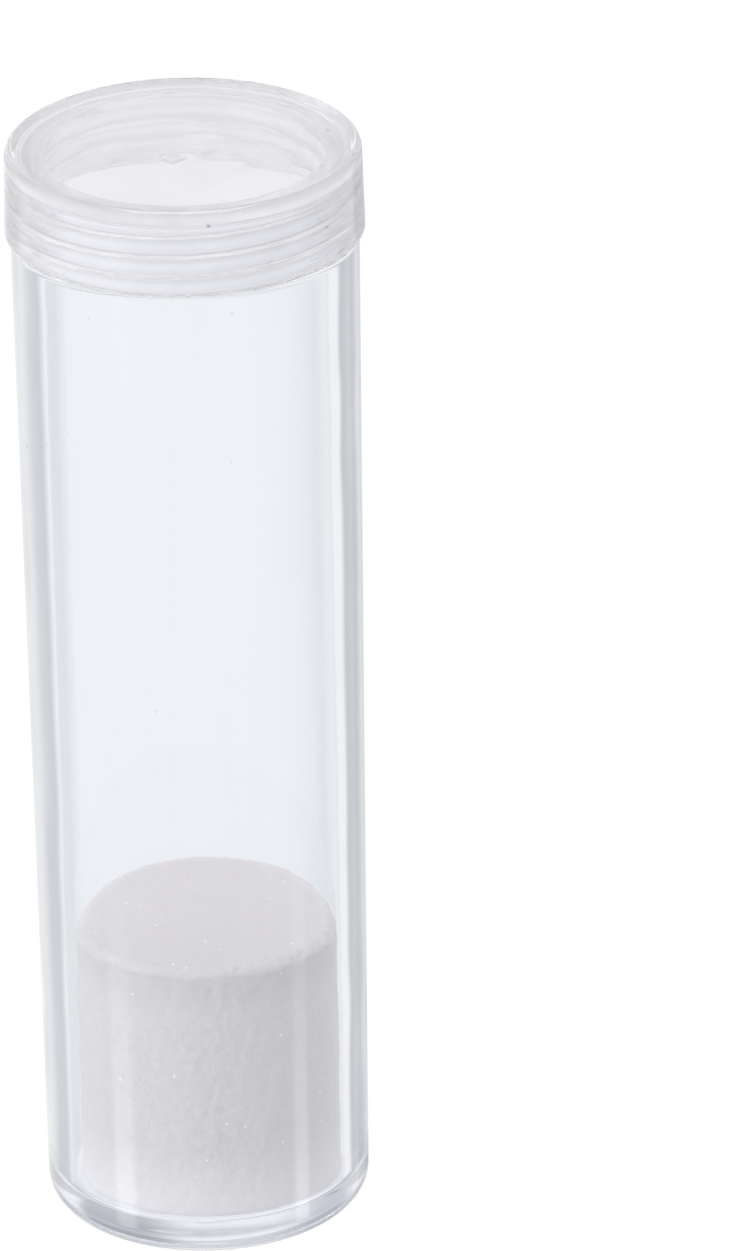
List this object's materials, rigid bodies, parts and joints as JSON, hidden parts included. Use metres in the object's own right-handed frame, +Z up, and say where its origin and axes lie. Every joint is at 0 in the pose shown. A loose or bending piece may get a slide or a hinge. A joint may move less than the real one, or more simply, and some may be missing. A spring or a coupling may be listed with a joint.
{
  "type": "coin tube",
  "caption": "Clear round plastic coin tube standing upright, with a flat screw cap on a stepped neck and a soft foam pad lying on its floor.",
  "frame": {"origin": "middle of the tube's flat foot, on the surface it stands on", "axes": "+Z up along the tube's own axis towards the cap; +X towards the side of the bore that the foam pad lies against"},
  "size_m": [0.034, 0.034, 0.11],
  "materials": {
    "clear_tube": "clear, polished, faintly blue moulded plastic",
    "milky_cap": "translucent, slightly milky moulded plastic",
    "pale_foam": "soft fine-celled foam, white with a faint lilac cast"
  },
  "bodies": {
    "tube": {"tube_body": "clear_tube"},
    "cap": {"screw_cap": "milky_cap"},
    "pad": {"foam_pad": "pale_foam"}
  },
  "joints": [
    {"name": "cap_lift", "type": "slide", "parent": "tube", "child": "cap", "axis": [0, 0, 1], "range_m": [0, 0.03]},
    {"name": "pad_slide", "type": "slide", "parent": "tube", "child": "pad", "axis": [0, 0, 1], "range_m": [0, 0.077]}
  ]
}
